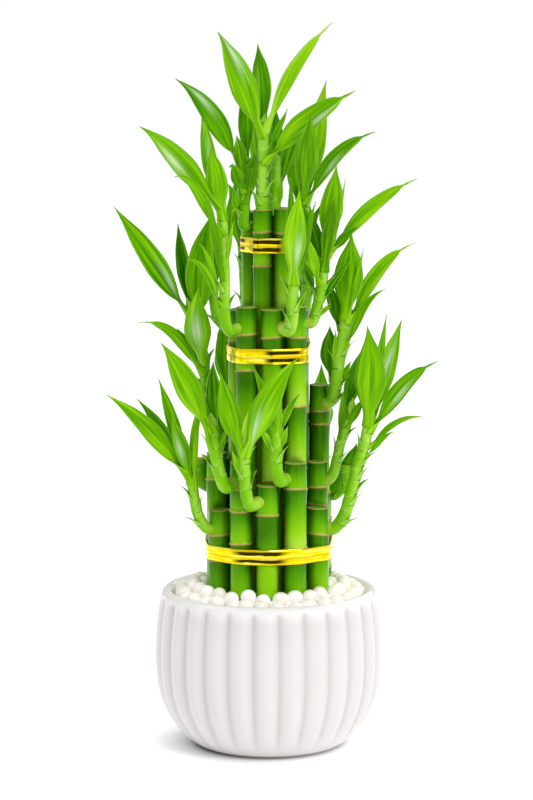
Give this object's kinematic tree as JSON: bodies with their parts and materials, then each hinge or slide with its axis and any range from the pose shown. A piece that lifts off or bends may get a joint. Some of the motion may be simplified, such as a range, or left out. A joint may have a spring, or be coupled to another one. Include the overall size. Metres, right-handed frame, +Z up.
{
  "type": "lucky bamboo",
  "caption": "Potted lucky bamboo tower: upright canes in three tiers tied with gold foil bands, leafy side shoots, white pebbles and a round fluted bowl.",
  "frame": {"origin": "middle of the bowl's flat foot, on the surface it stands on", "axes": "+Z up along the canes, -Y the front of the plant, +X its right"},
  "size_m": [0.143, 0.1207, 0.318],
  "materials": {
    "glaze": "glossy white glaze",
    "pebble": "polished",
    "foil": "bright crinkled foil",
    "cane": "waxy living skin",
    "foliage": "satin living leaf"
  },
  "bodies": {
    "root": {"band_low": "foil", "band_mid": "foil", "band_top": "foil", "bowl": "glaze", "cane_low_back": "cane", "cane_low_back_left": "cane", "cane_low_back_mid": "cane", "cane_low_back_right": "cane", "cane_low_front": "cane", "cane_low_front_left": "cane", "cane_low_front_right": "cane", "cane_low_left": "cane", "cane_low_left_back": "cane", "cane_low_left_front": "cane", "cane_low_left_mid": "cane", "cane_low_right": "cane", "cane_low_right_back": "cane", "cane_low_right_front": "cane", "cane_low_right_mid": "cane", "cane_mid_back": "cane", "cane_mid_back_left": "cane", "cane_mid_back_right": "cane", "cane_mid_front": "cane", "cane_mid_front_left": "cane", "cane_mid_front_right": "cane", "cane_mid_left": "cane", "cane_mid_right": "cane", "cane_top_back": "cane", "cane_top_front": "cane", "cane_top_left": "cane", "cane_top_right": "cane", "pebble_bed": "pebble", "shoot_back_crown": "foliage", "shoot_back_low": "foliage", "shoot_back_low_left": "foliage", "shoot_back_low_right": "foliage", "shoot_back_mid": "foliage", "shoot_back_upper": "foliage", "shoot_crown_front": "foliage", "shoot_crown_left": "foliage", "shoot_crown_right": "foliage", "shoot_far_left": "foliage", "shoot_front_left": "foliage", "shoot_front_mid": "foliage", "shoot_low_left": "foliage", "shoot_low_mid_left": "foliage", "shoot_low_right": "foliage", "shoot_mid_front_left": "foliage", "shoot_mid_front_right": "foliage", "shoot_mid_left": "foliage", "shoot_mid_right": "foliage", "shoot_right": "foliage", "shoot_right_back": "foliage", "shoot_right_back_low": "foliage", "shoot_stub_left": "foliage", "shoot_upper_right": "foliage"}
  },
  "joints": []
}
